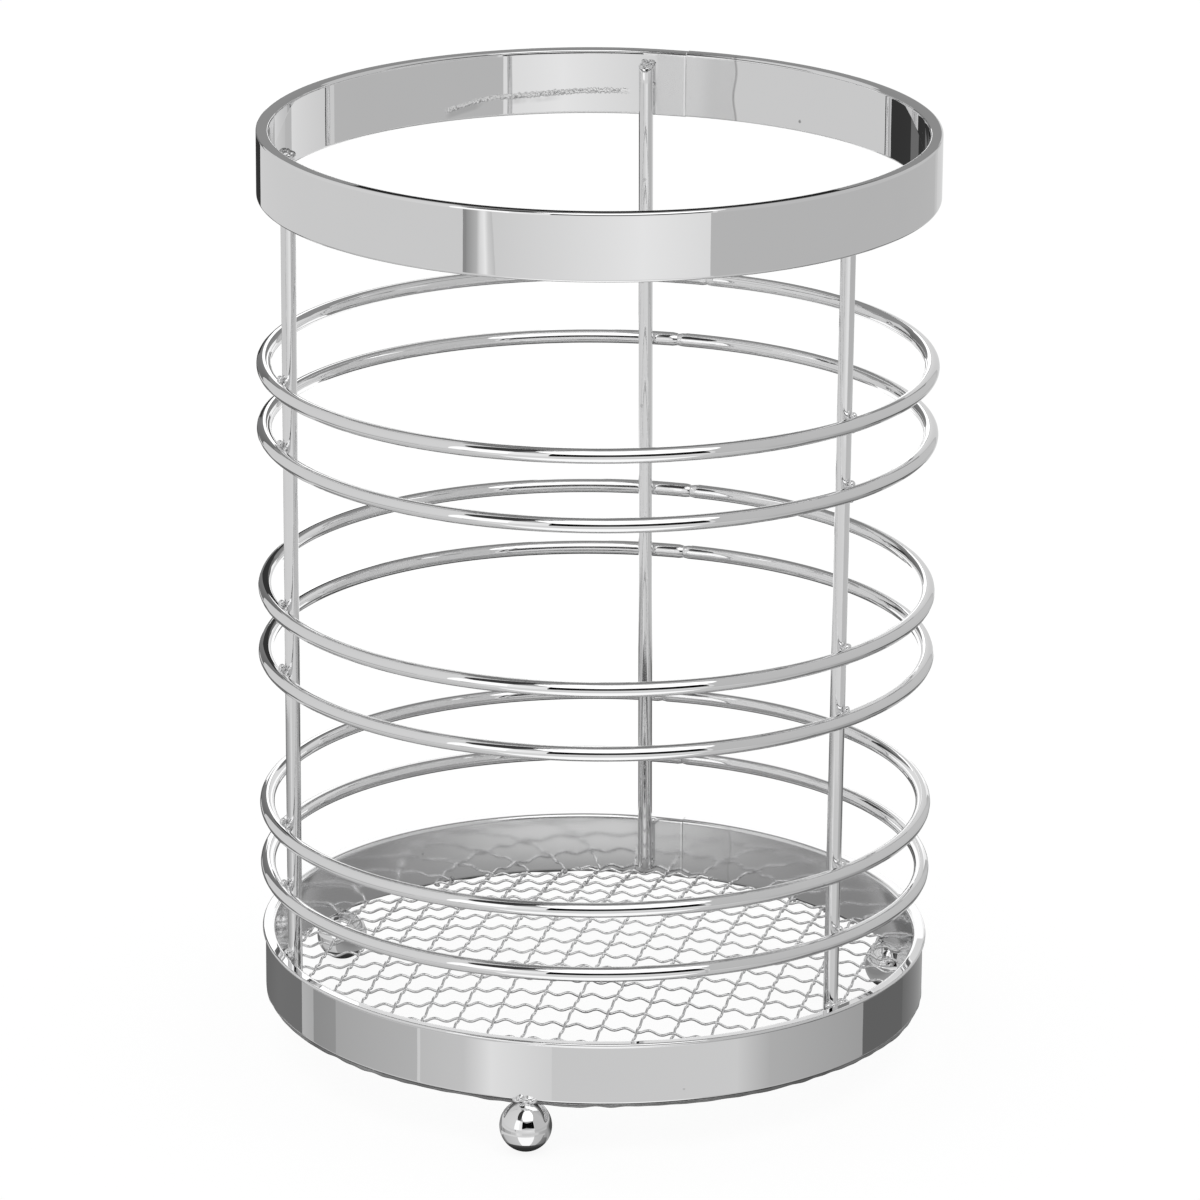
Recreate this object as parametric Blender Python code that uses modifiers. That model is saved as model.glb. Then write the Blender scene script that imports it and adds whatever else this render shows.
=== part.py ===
"""Round cutlery holder of welded steel: strip bands, wire rings and uprights, a woven wire floor and ball feet.

Lengths are in metres and +Z is up. The hoops' common axis is the Z axis, and the feet stand on Z = 0.
Azimuths are in degrees, counted from the front (-Y) towards the right (+X).
"""

import math

import bpy

# Bands: flat strip rolled on edge, with its corners eased
BAND_OUTER_DIAMETER = 0.115
BAND_THICKNESS = 0.0022
BAND_CORNER_RADIUS = 0.0006
UPPER_BAND_HEIGHT = 0.0115
LOWER_BAND_HEIGHT = 0.0108

# Wire rings, in close pairs
RING_WIRE_DIAMETER = 0.0025
PAIR_COUNT = 3
PAIR_PITCH = 0.03935
RING_SPACING_IN_PAIR = 0.0115
FIRST_RING_LIFT = 0.0108
UPPER_BAND_LIFT = 0.0291

# Uprights, inside the hoops
UPRIGHT_DIAMETER = 0.0025
UPRIGHT_END_EASE = 0.0004
UPRIGHT_TOP_INSET = 0.0021
UPRIGHT_AZIMUTHS = {"back": 171.2, "left": -72.1, "right": 48.9}

# Ball feet, with the weld stub that joins each to the lower band
FOOT_DIAMETER = 0.0089
FOOT_CONTACT_DIAMETER = 0.0018
FOOT_STUB_DIAMETER = 0.003
FOOT_CROWN_DROP = 0.0008
FOOT_AZIMUTHS = {"front": -11.2, "rear_left": -126.5, "rear_right": 112.0}

# Woven floor: warp wires run from front to rear, weft wires run across, so many pitches to the diameter
MESH_WIRE_DIAMETER = 0.00065
WEAVE_CLEARANCE = 0.0001
WARPS_ACROSS = 18.5
WEFTS_ACROSS = 19
WEFT_AZIMUTH = 80.6
WARP_AZIMUTH = 168.1
WEAVE_SHIFT_SHARES = {"weft": 0.27, "warp": -0.05}
FLOOR_DOME_RISE = 0.0047
MESH_EDGE_INSET = 0.0003

# Clearance between pieces that rest on each other
SEAT_GAP = 0.0003

# Facets
HOOP_SEGMENTS = 60
WIRE_SIDES = 8
CORNER_SEGMENTS = 1
UPRIGHT_SIDES = 12
MESH_WIRE_RESOLUTION = 1
FOOT_SEGMENTS = 16
FOOT_ARC_STEPS = 8
SNAP_SHARE = 0.06
LARGEST_CORNER_SHARE = 0.4
MERGE_DISTANCE = 0.000001

# Heights and radii that follow from the sizes above
BAND_OUTER_RADIUS = BAND_OUTER_DIAMETER / 2
BAND_INNER_RADIUS = BAND_OUTER_RADIUS - BAND_THICKNESS
BAND_MID_RADIUS = BAND_OUTER_RADIUS - BAND_THICKNESS / 2
FOOT_RADIUS = FOOT_DIAMETER / 2
FOOT_CENTRE_Z = math.sqrt(FOOT_RADIUS**2 - (FOOT_CONTACT_DIAMETER / 2) ** 2)
LOWER_BAND_BOTTOM = FOOT_CENTRE_Z + FOOT_RADIUS + FOOT_CROWN_DROP
LOWER_BAND_TOP = LOWER_BAND_BOTTOM + LOWER_BAND_HEIGHT
FIRST_RING_Z = LOWER_BAND_TOP + FIRST_RING_LIFT
LAST_RING_Z = FIRST_RING_Z + (PAIR_COUNT - 1) * PAIR_PITCH + RING_SPACING_IN_PAIR
UPPER_BAND_BOTTOM = LAST_RING_Z + UPPER_BAND_LIFT
UPPER_BAND_TOP = UPPER_BAND_BOTTOM + UPPER_BAND_HEIGHT
RING_RADIUS = BAND_INNER_RADIUS + RING_WIRE_DIAMETER / 2
UPRIGHT_RADIUS = UPRIGHT_DIAMETER / 2
UPRIGHT_CENTRE_RADIUS = BAND_INNER_RADIUS - SEAT_GAP - UPRIGHT_RADIUS
MESH_WIRE_RADIUS = MESH_WIRE_DIAMETER / 2
CRIMP = MESH_WIRE_RADIUS + WEAVE_CLEARANCE / 2
MESH_HALF_HEIGHT = CRIMP + MESH_WIRE_RADIUS
MESH_RIM_Z = LOWER_BAND_BOTTOM - SEAT_GAP - MESH_HALF_HEIGHT
MESH_RADIUS = BAND_OUTER_RADIUS - MESH_EDGE_INSET
WARP_PITCH = 2 * MESH_RADIUS / WARPS_ACROSS
WEFT_PITCH = 2 * MESH_RADIUS / WEFTS_ACROSS
FOOT_STUB_RADIUS = FOOT_STUB_DIAMETER / 2
FOOT_STUB_TOP = LOWER_BAND_BOTTOM - SEAT_GAP
FOOT_TOP = MESH_RIM_Z - MESH_HALF_HEIGHT - SEAT_GAP


def direction(azimuth):
    """Unit vector in plan at an azimuth."""
    angle = math.radians(azimuth)
    return math.sin(angle), -math.cos(angle)


def clear_scene():
    for old in list(bpy.data.objects):
        bpy.data.objects.remove(old, do_unlink=True)


def chrome(name, shade, roughness):
    """A plated steel finish."""
    material = bpy.data.materials.new(name)
    material.use_nodes = True
    shader = material.node_tree.nodes["Principled BSDF"]
    shader.inputs["Base Color"].default_value = (shade, shade, shade, 1)
    shader.inputs["Metallic"].default_value = 1
    shader.inputs["Roughness"].default_value = roughness
    return material


def add_piece(holder, name, data, location=(0, 0, 0)):
    """Put a mesh or curve in the holder's collection, under its empty."""
    piece = bpy.data.objects.new(name, data)
    piece.location = location
    piece.parent = holder["empty"]
    holder["collection"].objects.link(piece)
    return piece


def take_primitive(material):
    """The mesh of the primitive just added, smooth but for its hard edges, without its object."""
    primitive = bpy.context.active_object
    mesh = primitive.data
    bpy.data.objects.remove(primitive)
    mesh.shade_smooth()
    mesh.set_sharp_from_angle(angle=math.radians(40))
    mesh.materials.append(material)
    return mesh


def profile_mesh(name, profile, material, closed):
    """A line of (radius, height) points that runs down its outer side, ready to be turned about Z."""
    mesh = bpy.data.meshes.new(name)
    points = [(radius, 0, height) for radius, height in profile]
    edges = [(i, i + 1) for i in range(len(points) - 1)]
    if closed:
        edges.append((len(points) - 1, 0))
    mesh.from_pydata(points, edges, [])
    mesh.materials.append(material)
    return mesh


def turn(piece, steps):
    """Turn a piece's profile about its own Z axis."""
    screw = piece.modifiers.new("turn", "SCREW")
    screw.steps = steps
    screw.render_steps = steps
    screw.use_merge_vertices = True
    screw.merge_threshold = MERGE_DISTANCE
    screw.use_smooth_shade = True


def band_profile(height):
    """Section of the strip: a tall rectangle with eased corners, its outer side first and downwards."""
    corner = min(BAND_CORNER_RADIUS, LARGEST_CORNER_SHARE * min(BAND_THICKNESS, height))
    centres = (
        (BAND_OUTER_RADIUS - corner, height - corner, 90),
        (BAND_OUTER_RADIUS - corner, corner, 0),
        (BAND_INNER_RADIUS + corner, corner, -90),
        (BAND_INNER_RADIUS + corner, height - corner, -180),
    )
    profile = []
    for x, z, start in centres:
        for step in range(CORNER_SEGMENTS + 1):
            angle = math.radians(start - 90 * step / CORNER_SEGMENTS)
            profile.append((x + corner * math.cos(angle), z + corner * math.sin(angle)))
    return profile


def make_bands(holder):
    material = chrome("band_chrome", 0.72, 0.08)
    for name, bottom, height in (
        ("lower_band", LOWER_BAND_BOTTOM, LOWER_BAND_HEIGHT),
        ("upper_band", UPPER_BAND_BOTTOM, UPPER_BAND_HEIGHT),
    ):
        mesh = profile_mesh(name, band_profile(height), material, True)
        turn(add_piece(holder, name, mesh, (0, 0, bottom)), HOOP_SEGMENTS)


def make_rings(holder):
    """Six closed wire hoops in pairs, numbered from the bottom."""
    bpy.ops.mesh.primitive_torus_add(
        major_segments=HOOP_SEGMENTS,
        minor_segments=WIRE_SIDES,
        major_radius=RING_RADIUS,
        minor_radius=RING_WIRE_DIAMETER / 2,
    )
    hoop = take_primitive(chrome("ring_chrome", 0.75, 0.07))
    for pair in range(PAIR_COUNT):
        for member in range(2):
            z = FIRST_RING_Z + pair * PAIR_PITCH + member * RING_SPACING_IN_PAIR
            add_piece(holder, f"ring_{2 * pair + member + 1}", hoop, (0, 0, z))


def dome_height(radius):
    """How far the floor's middle surface stands above its rim."""
    return FLOOR_DOME_RISE * max(0, 1 - (radius / BAND_INNER_RADIUS) ** 2)


def make_uprights(holder):
    """Three straight wires that stand on the floor's rim, inside the bands and rings."""
    inner_edge = UPRIGHT_CENTRE_RADIUS - UPRIGHT_RADIUS
    bottom = MESH_RIM_Z + MESH_HALF_HEIGHT + dome_height(inner_edge) + SEAT_GAP
    top = UPPER_BAND_TOP - UPRIGHT_TOP_INSET
    bpy.ops.mesh.primitive_cylinder_add(vertices=UPRIGHT_SIDES, radius=UPRIGHT_RADIUS, depth=top - bottom)
    wire = take_primitive(chrome("upright_chrome", 0.7, 0.1))
    for side, azimuth in UPRIGHT_AZIMUTHS.items():
        x, y = direction(azimuth)
        place = (UPRIGHT_CENTRE_RADIUS * x, UPRIGHT_CENTRE_RADIUS * y, (top + bottom) / 2)
        upright = add_piece(holder, f"upright_{side}", wire, place)
        ease = upright.modifiers.new("eased_ends", "BEVEL")
        ease.width = min(UPRIGHT_END_EASE, UPRIGHT_RADIUS / 2)
        ease.segments = 1
        ease.limit_method = "ANGLE"
        ease.angle_limit = math.radians(60)


def foot_profile():
    """Half section of a foot: weld stub, flat under the floor, ball, and a small worn flat to stand on."""
    start = math.asin((FOOT_TOP - FOOT_CENTRE_Z) / FOOT_RADIUS)
    end = -math.asin(FOOT_CENTRE_Z / FOOT_RADIUS)
    profile = [(0, FOOT_STUB_TOP), (FOOT_STUB_RADIUS, FOOT_STUB_TOP), (FOOT_STUB_RADIUS, FOOT_TOP)]
    for step in range(FOOT_ARC_STEPS + 1):
        angle = start + (end - start) * step / FOOT_ARC_STEPS
        profile.append((FOOT_RADIUS * math.cos(angle), FOOT_CENTRE_Z + FOOT_RADIUS * math.sin(angle)))
    profile.append((0, 0))
    return profile


def foot_places():
    places = {}
    for side, azimuth in FOOT_AZIMUTHS.items():
        x, y = direction(azimuth)
        places[side] = (BAND_MID_RADIUS * x, BAND_MID_RADIUS * y, 0)
    return places


def make_feet(holder):
    ball = profile_mesh("foot", foot_profile(), chrome("foot_chrome", 0.68, 0.08), False)
    for side, place in foot_places().items():
        turn(add_piece(holder, f"foot_{side}", ball, place), FOOT_SEGMENTS)


def circle_crossings(start, along, centre, radius):
    """Where the line start + t * along enters and leaves a circle in plan, or None if it misses it."""
    dx = start[0] - centre[0]
    dy = start[1] - centre[1]
    a = along[0] ** 2 + along[1] ** 2
    b = dx * along[0] + dy * along[1]
    spread = b * b - a * (dx * dx + dy * dy - radius * radius)
    if spread <= 0:
        return None
    root = math.sqrt(spread)
    return (-b - root) / a, (-b + root) / a


def wire_span(start, along):
    """First and last step of a mesh wire: out to the floor's edge, but clear of the feet's weld stubs."""
    first, last = circle_crossings(start, along, (0, 0), MESH_RADIUS)
    stub_clearance = FOOT_STUB_RADIUS + MESH_WIRE_RADIUS + SEAT_GAP
    for place in foot_places().values():
        blocked = circle_crossings(start, along, place, stub_clearance)
        if blocked is None:
            continue
        if sum(blocked) < first + last:
            first = max(first, blocked[1])
        else:
            last = min(last, blocked[0])
    return first, last


def wire_steps(first, last):
    """The ends of a wire and every crossing between them that isn't right beside an end."""
    inner = range(math.ceil(first + SNAP_SHARE), math.floor(last - SNAP_SHARE) + 1)
    return [first, *inner, last]


def crimp_phase(step, parity):
    """Rise of a wire at a step, from 1 over a crossing to -1 under it, straight between."""
    nearest = round(step)
    if abs(step - nearest) <= SNAP_SHARE:
        step = nearest
    lower = math.floor(step)
    here = 1 if (lower + parity) % 2 == 0 else -1
    return here * (1 - 2 * (step - lower))


def mesh_wire(holder, name, start, along, parity, material):
    """One crimped wire of the floor, as a point at each crossing and at its ends."""
    points = []
    for step in wire_steps(*wire_span(start, along)):
        x = start[0] + step * along[0]
        y = start[1] + step * along[1]
        z = MESH_RIM_Z + dome_height(math.hypot(x, y)) + CRIMP * crimp_phase(step, parity)
        points.append((x, y, z))
    curve = bpy.data.curves.new(name, "CURVE")
    curve.dimensions = "3D"
    curve.bevel_depth = MESH_WIRE_RADIUS
    curve.bevel_resolution = MESH_WIRE_RESOLUTION
    curve.use_fill_caps = True
    spline = curve.splines.new("POLY")
    spline.points.add(len(points) - 1)
    for point, place in zip(spline.points, points):
        point.co = (*place, 1)
    curve.materials.append(material)
    add_piece(holder, name, curve)


def wire_name(family, sides, index):
    """A mesh wire's name, by its place from the middle one."""
    if index == 0:
        return f"floor_{family}_middle"
    return f"floor_{family}_{sides[index > 0]}_{abs(index)}"


def make_floor(holder):
    """A plain weave: where a weft wire passes over a warp wire, that warp wire passes under."""
    material = chrome("mesh_chrome", 0.6, 0.15)
    weft_along = [WARP_PITCH * part for part in direction(WEFT_AZIMUTH)]
    warp_along = [WEFT_PITCH * part for part in direction(WARP_AZIMUTH)]
    middle = [
        WEAVE_SHIFT_SHARES["weft"] * weft_along[axis] + WEAVE_SHIFT_SHARES["warp"] * warp_along[axis]
        for axis in range(2)
    ]
    families = (
        ("weft", ("front", "rear"), warp_along, weft_along, 0),
        ("warp", ("left", "right"), weft_along, warp_along, 1),
    )
    reach = math.ceil(max(WARPS_ACROSS, WEFTS_ACROSS))
    for family, sides, across, along, parity in families:
        for index in range(-reach, reach + 1):
            start = [middle[axis] + index * across[axis] for axis in range(2)]
            if circle_crossings(start, along, (0, 0), BAND_INNER_RADIUS) is not None:
                mesh_wire(holder, wire_name(family, sides, index), start, along, index + parity, material)


def main():
    clear_scene()
    collection = bpy.data.collections.new("cutlery_holder")
    bpy.context.scene.collection.children.link(collection)
    empty = bpy.data.objects.new("holder_axis", None)
    collection.objects.link(empty)
    holder = {"collection": collection, "empty": empty}
    make_bands(holder)
    make_rings(holder)
    make_uprights(holder)
    make_feet(holder)
    make_floor(holder)


main()
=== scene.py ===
"""The dressed cutlery holder: polished bands, wire rings, uprights, ball feet and a crimped wire floor.

Lengths are in metres and +Z is up. Azimuths are in degrees from the front (-Y) towards the right (+X).
"""

import math
import random

import bmesh
import bpy
import numpy as np
from mathutils import Matrix, Vector


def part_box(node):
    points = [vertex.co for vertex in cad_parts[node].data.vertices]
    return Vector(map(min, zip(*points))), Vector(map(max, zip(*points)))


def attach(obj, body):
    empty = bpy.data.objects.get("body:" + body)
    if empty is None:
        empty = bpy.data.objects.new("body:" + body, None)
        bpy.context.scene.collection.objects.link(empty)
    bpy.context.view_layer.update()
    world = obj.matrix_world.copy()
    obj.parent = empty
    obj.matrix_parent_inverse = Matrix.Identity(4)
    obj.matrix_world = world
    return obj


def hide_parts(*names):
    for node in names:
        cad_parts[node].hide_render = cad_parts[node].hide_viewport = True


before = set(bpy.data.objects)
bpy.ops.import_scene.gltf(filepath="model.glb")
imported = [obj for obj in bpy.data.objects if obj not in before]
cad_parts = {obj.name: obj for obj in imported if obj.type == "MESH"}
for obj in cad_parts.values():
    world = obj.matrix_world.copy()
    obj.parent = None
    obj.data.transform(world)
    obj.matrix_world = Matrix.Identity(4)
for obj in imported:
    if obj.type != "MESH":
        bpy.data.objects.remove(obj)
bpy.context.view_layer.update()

BODY = "root"
MM = 0.001
FULL_TURN = 2 * math.pi
JOIN_DISTANCE = 0.002 * MM
CAP_ANGLE = 50

# The view that the photograph was taken from
CAMERA_PLACE = (0.005077, -1.106899, 0.437849)
CAMERA_PITCH = 17.97939
CAMERA_YAW = -0.23144
CAMERA_ROLL = -0.39374
CAMERA_LENS = 204.05
CAMERA_SENSOR = 36
CAMERA_CLIPS = (0.02, 50.0)

# Bands: the radii round the strip's edges, and the azimuth and gaps of each butt joint
BAND_RADIUS = 57.5 * MM
BAND_THICKNESS = 2.2 * MM
BAND_OUTER_EDGE = 0.42 * MM
BAND_INNER_EDGE = 0.72 * MM
BAND_FOOT_EDGE = 0.3 * MM
BAND_SEGMENTS = 384
BAND_SEAMS = {"upper_band": 164.5, "lower_band": 163.6}
BAND_JOINT_GAP = 0.014 * MM
BAND_JOINT_TOP_GAP = 0.055 * MM
# How low and how proud the strip's first end sits at its joint, and how soon it comes back true
BAND_END_DROP = 0.1 * MM
BAND_END_STEP = 0.035 * MM
BAND_END_PACE = 45
# The strip's waves around the hoop: how high, how many and where they start
BAND_WAVES = ((0.02 * MM, 3, 1.0), (0.012 * MM, 7, 0.0))
# The lip rolled out along the lower band's top edge, and its height
LOWER_BAND_LIP = 0.5 * MM
LIP_HEIGHT = 0.45 * MM
# The lower band hangs a little low and out of level: mm in its middle, and mm more at its right edge
LOWER_BAND_SINK = (0.65, 0.45)
# Flat lengths beside each rounded edge, which keep the shading of the flat faces flat
FACE_HOLD = 0.12 * MM
LIP_HOLD = 0.05 * MM

# Rings, numbered from the bottom, with the azimuth of each butt joint
RING_SEAMS = {1: 164.0, 2: 167.9, 3: 164.2, 4: 163.0, 5: 165.7, 6: 160.3}
# How far each ring was welded off its place: mm up in its middle, more at its right and more at its rear
RING_SHIFTS = {
    1: (0.35, -0.15, -0.35),
    2: (0.32, 0.28, -0.17),
    3: (-0.18, 0.0, -0.1),
    4: (-0.35, -0.21, 0.07),
    5: (-0.3, -0.13, -0.06),
    6: (-0.18, 0.09, -0.13),
}
RING_WIRE_RADIUS = 1.25 * MM
RING_JOINT_GAP = 0.07 * MM
RING_WOBBLE = 0.05 * MM
RING_SEGMENTS = 420
RING_SIDES = 20

# Uprights: how far each leans at its foot and at its top, as (mm outwards, degrees around)
UPRIGHT_LEANS = {
    "back": ((0.0, -0.73), (0.0, 0.46)),
    "left": ((0.0, 0.0), (0.3, 0.0)),
    "right": ((0.0, -0.73), (0.0, 0.63)),
}
UPRIGHT_SIDES = 28
UPRIGHT_ROWS = 60
LEFT_UPRIGHT_EXTRA = 1.5 * MM
# Profiles of the ends, as (mm from the end, share of the radius)
UPRIGHT_FOOT = ((0.0, 0.35), (0.12, 0.72), (0.35, 0.93), (0.7, 1.0))
UPRIGHT_TOP = ((0.5, 0.99), (0.3, 0.97), (0.14, 0.9), (0.0, 0.72))
# Length of both ends together
UPRIGHT_ENDS = 1.9 * MM
PINCH_LENGTH = 1.4 * MM

# Welds: the radius and the seed of each kind of lump
RING_LUMP = (0.62 * MM, 3)
BAND_LUMP = (0.5 * MM, 8)
BURR_LUMP = (0.8 * MM, 12)
KNOT_LUMP = (0.55 * MM, 6)
FOOT_LUMP = (0.9 * MM, 4)
# Nuggets at a ring: (mm up, width, mm out, height)
RING_NUGGETS = ((-1.25, 0.9, 0.35, 1.0), (0.0, 1.7, -0.1, 1.5), (1.25, 0.9, 0.35, 1.0))
# Heights of the beads behind an upright, as shares of a band's height
BAND_BEADS = (("lower_band", (0.1, 0.45)), ("upper_band", (0.12, 0.45, 0.75)))
# Beads: (mm up, mm out, mm aside) from an upright's middle line
EDGE_BEADS = ((-0.2, 1.1, -0.5), (-0.5, 0.95, 0.7), (-0.4, 0.85, -1.4))
BURR_BEADS = ((0.0, 0.5, 0.5), (0.2, -0.5, 0.4), (0.3, 0.4, -0.6), (0.1, -0.4, -0.5), (0.4, 0.0, 0.0))
# Lumps over a foot: (degrees aside, mm up, size)
FOOT_LUMPS = ((-1.2, -0.45, 1.0), (0.1, -0.7, 1.3), (1.3, -0.5, 0.9), (0.5, -0.2, 1.1), (-0.6, -0.15, 1.0))
FOOT_WELD_RADIUS = 56.6 * MM

# Floor: a crimped wire mesh that is domed up in its middle
WARP_STEP = (6.101 * MM, -1.010 * MM, 0.0)
WEFT_STEP = (1.241 * MM, 5.890 * MM, 0.0)
WARPS = 18
WEFTS = 19
FIRST_WIRE = -9
MESH_MIDDLE = (1.585 * MM, -0.591 * MM, 0.0)
MESH_WIRE_RADIUS = 0.235 * MM
MESH_WIRE_SIDES = 8
MESH_WIRE_POINTS = 700
MESH_WIRE_STEP = 0.36 * MM
WEFT_CRIMP = 0.31 * MM
WARP_CRIMP = 0.24 * MM
MESH_UNEVENNESS = 0.35 * MM
MESH_DOME_RISE = 4.7 * MM
MESH_RIM_Z = 9.2 * MM
MESH_EDGE_RADIUS = 56.6 * MM
KNOT_RING_RADIUS = 55.15 * MM
RIM_RADIUS = 56.4 * MM
# Half the rim's height (plain, more in front, more at knobs) and half its width (plain, more at knobs), in mm
RIM_HEIGHTS = (0.33, 0.05, 0.11)
RIM_WIDTHS = (0.6, 0.08)
# How far the rim bites into the band, and how many knobs its waves make in a turn
RIM_BITE = 0.06 * MM
RIM_WAVES = (5, 90)
RIM_SEGMENTS = 720
RIM_SIDES = 10

# Ball feet
FEET = ("front", "rear_left", "rear_right")
BALL_RADIUS = 4.42 * MM
BALL_SIDES = 48
BALL_ROWS = 32
BALL_POLE = 89.9

# Finishes: a value for each of the plating's inputs
PLATE_INPUTS = ("Shade", "Shade Change", "Roughness", "Roughness Change", "Ripple", "Line Depth", "Pits")
BAND_PLATE = (0.86, 0.015, 0.01, 0.02, 0.3, 0.01, 1.0)
RING_PLATE = (0.86, 0.03, 0.01, 0.03, 0.15, 0.05, 0.3)
UPRIGHT_PLATE = (0.84, 0.03, 0.04, 0.06, 0.4, 0.15, 0.4)
BALL_PLATE = (0.86, 0.03, 0.02, 0.04, 0.3, 0.05, 0.3)
WELD_PLATE = (0.84, 0.03, 0.22, 0.2, 1.2, 0.8, 0.5)
BURNT_PLATE = (0.25, 0.5, 0.3, 0.3, 4.0, 3.0, 0.0)
KNOT_PLATE = (0.62, 1.2, 0.12, 0.3, 2.0, 1.0, 0.0)
MESH_PLATE = (0.84, 0.12, 0.1, 0.15, 1.0, 0.3, 0.3)
# How fine the polishing or drawing lines are: across and along a hoop, or along each axis
BAND_LINES = (6000.0, 30.0)
RING_LINES = (5000.0, 25.0)
UPRIGHT_LINES = (9000.0, 9000.0, 300.0)
PLAIN_LINES = (900.0, 900.0, 900.0)

# Studio: the dome of cards, and how far in front of the last layer the next one stands
STUDIO_RADIUS = 1.0
STUDIO_MIDDLE = 0.08
LAYER_STEP = 12 * MM
CARD_CELL = 5
# The share of light that the plate gives back
PLATE_BRIGHTNESS = 0.84
# Cards close to the holder: the plan places of both ends, the heights, and the greys of both ends
NEAR_CARDS = (
    ("dark_flag", ((-0.09, 0.1116), (-0.033, 0.131)), (0.1, 0.13), (0.19, 0.2)),
    ("grey_flag", ((-0.033, 0.131), (-0.012, 0.138)), (0.1, 0.13), (0.4, 0.4)),
    ("pale_flag", ((0.0955, 0.0806), (0.0508, 0.1419)), (0.06, 0.185), (0.77, 0.83)),
    ("grey_shelf", ((-0.13, 0.115), (0.13, 0.115)), (0.172, 0.24), (0.53, 0.53)),
    ("dark_shelf", ((-0.045, 0.03), (0.05, 0.03)), (0.1804, 0.201), (0.12, 0.12)),
    ("white_sill", ((-0.09, 0.12), (0.09, 0.12)), (0.03, 0.067), (0.98, 0.98)),
    ("pale_sill", ((-0.045, 0.12), (0.045, 0.12)), (0.067, 0.092), (0.84, 0.84)),
)
# Shades on the table that only mirrors see: (radius in mm, grey) from the middle outwards
TABLE_SHADE = ((0, 0.8), (15, 0.77), (21, 0.7), (28, 0.6), (40, 0.5), (48, 0.5), (55, 0.6))
NEAR_SHADE = ((0, 0.3), (18, 0.3), (22, 0.55))
NEAR_SHADE_Y = -31 * MM
FOOT_SHADE = ((0, 0.1), (3.2, 0.18), (4.3, 0.3))
SHADE_SIDES = 72
# The table: its half width, and the share of its white that a shadow can take away
TABLE_REACH = 6.0
TABLE_SHADED = 0.12


def direction(azimuth):
    """Unit vector in plan at an azimuth in degrees from the front (-Y), growing towards the right (+X)."""
    angle = math.radians(azimuth)
    return math.sin(angle), -math.cos(angle)


def plan_place(radius, azimuth, aside=0.0):
    """Place in plan at a radius and an azimuth, moved aside along the hoop."""
    x, y = direction(azimuth)
    return radius * x - aside * y, radius * y + aside * x


def linear(grey):
    """A grey as the eye sees it, as light."""
    if grey <= 0.04045:
        return grey / 12.92
    return ((grey + 0.055) / 1.055) ** 2.4


# Helpers for node trees

def sum_by(operation):
    """An operator that makes a Math node."""
    return lambda first, second=0.0: math_of(operation, first, second)


class Value:
    """What a node puts out. Plain sums of such values make Math nodes."""

    def __init__(self, socket):
        self.socket = socket

    __add__, __sub__, __mul__ = sum_by("ADD"), sum_by("SUBTRACT"), sum_by("MULTIPLY")
    __truediv__, __pow__, __abs__ = sum_by("DIVIDE"), sum_by("POWER"), sum_by("ABSOLUTE")


def add_node(tree, kind, inputs=(), **settings):
    """A node with its settings, and its inputs linked or set."""
    node = tree.nodes.new(kind)
    for name, value in settings.items():
        setattr(node, name, value)
    for key, value in dict(inputs).items():
        if isinstance(value, Value):
            tree.links.new(value.socket, node.inputs[key])
        else:
            node.inputs[key].default_value = value
    return node


def made(tree, kind, inputs=(), output=0, **settings):
    """What a new node puts out."""
    return Value(add_node(tree, kind, inputs, **settings).outputs[output])


def tree_of(*values):
    """The tree that the first node value among these belongs to."""
    return next(value.socket.id_data for value in values if isinstance(value, Value))


def math_of(operation, first, second=0.0):
    """A Math node's result."""
    return made(tree_of(first, second), "ShaderNodeMath", {0: first, 1: second}, operation=operation)


def vector_of(operation, first, second=None, scale=None):
    """A Vector Math node's result: a number for a length or a dot product, or else a vector."""
    inputs = {key: value for key, value in ((0, first), (1, second), ("Scale", scale)) if value is not None}
    output = "Value" if operation in ("LENGTH", "DOT_PRODUCT") else "Vector"
    return made(tree_of(*inputs.values()), "ShaderNodeVectorMath", inputs, output, operation=operation)


def ramp(value, start, end, low=0.0, high=1.0, kind="SMOOTHSTEP"):
    """A step from one value to another, smooth unless told otherwise."""
    inputs = {"Value": value, "From Min": start, "From Max": end, "To Min": low, "To Max": high}
    return made(tree_of(value), "ShaderNodeMapRange", inputs, interpolation_type=kind)


def noise_of(place, scale, detail, output=0):
    """Noise at a place."""
    inputs = {"Vector": place, "Scale": scale, "Detail": detail}
    return made(tree_of(place), "ShaderNodeTexNoise", inputs, output)


def shake_of(place, scale, detail, reach):
    """An uneven shift, up to half a reach each way."""
    shift = vector_of("SUBTRACT", noise_of(place, scale, detail, "Color"), (0.5, 0.5, 0.5))
    return vector_of("SCALE", shift, scale=reach)


def open_tree(name, inputs, outputs=None):
    """A node group and its inputs by name: for a material where it has outputs, or else for geometry.

    An input is given by its default, or by its kind where it has none.
    """
    tree = bpy.data.node_groups.new(name, "ShaderNodeTree" if outputs else "GeometryNodeTree")
    for label, value in inputs.items():
        word = value if isinstance(value, str) else type(value).__name__.capitalize()
        socket = tree.interface.new_socket(label, in_out="INPUT", socket_type="NodeSocket" + word)
        if not isinstance(value, str):
            socket.default_value = value
    for label, word in (outputs or {"Geometry": "Geometry"}).items():
        tree.interface.new_socket(label, in_out="OUTPUT", socket_type="NodeSocket" + word)
    enter = tree.nodes.new("NodeGroupInput")
    return tree, {socket.name: Value(socket) for socket in enter.outputs if socket.name}


def close_tree(tree, given, geometry):
    """End a geometry tree: real geometry, in the material that goes in."""
    real = made(tree, "GeometryNodeRealizeInstances", {"Geometry": geometry})
    coated = made(tree, "GeometryNodeSetMaterial", {"Geometry": real, "Material": given["Material"]})
    add_node(tree, "NodeGroupOutput", {"Geometry": coated})
    return tree


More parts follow.
